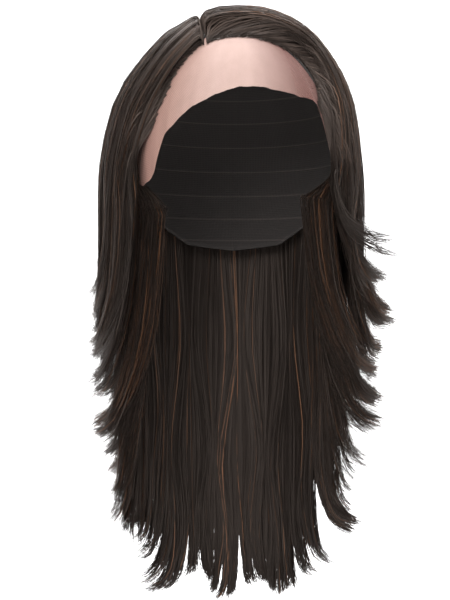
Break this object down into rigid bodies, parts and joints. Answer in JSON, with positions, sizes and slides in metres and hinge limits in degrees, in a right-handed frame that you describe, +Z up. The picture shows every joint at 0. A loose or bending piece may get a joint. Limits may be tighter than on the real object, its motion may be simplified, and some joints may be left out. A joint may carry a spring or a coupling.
{
  "type": "lace front wig",
  "caption": "Long layered wig with a side part, swept crown and outward flicked ends, on a stretch net cap with a sheer uncut lace front.",
  "frame": {"origin": "crown of the head inside the cap, where the cap rests on top of the head", "axes": "+Z up, the wearer's face looks along -Y, and +X is the wearer's left"},
  "size_m": [0.2251, 0.2154, 0.4668],
  "materials": {
    "cap_net": "matte stretch net",
    "lace": "sheer matte lace",
    "hair": "sleek fibre with a soft sheen"
  },
  "bodies": {
    "root": {"cap": "cap_net", "lace_front": "lace", "hair_right": "hair", "hair_left": "hair", "hair_back": "hair", "weft_right": "hair", "weft_left": "hair", "weft_back": "hair"}
  },
  "joints": []
}
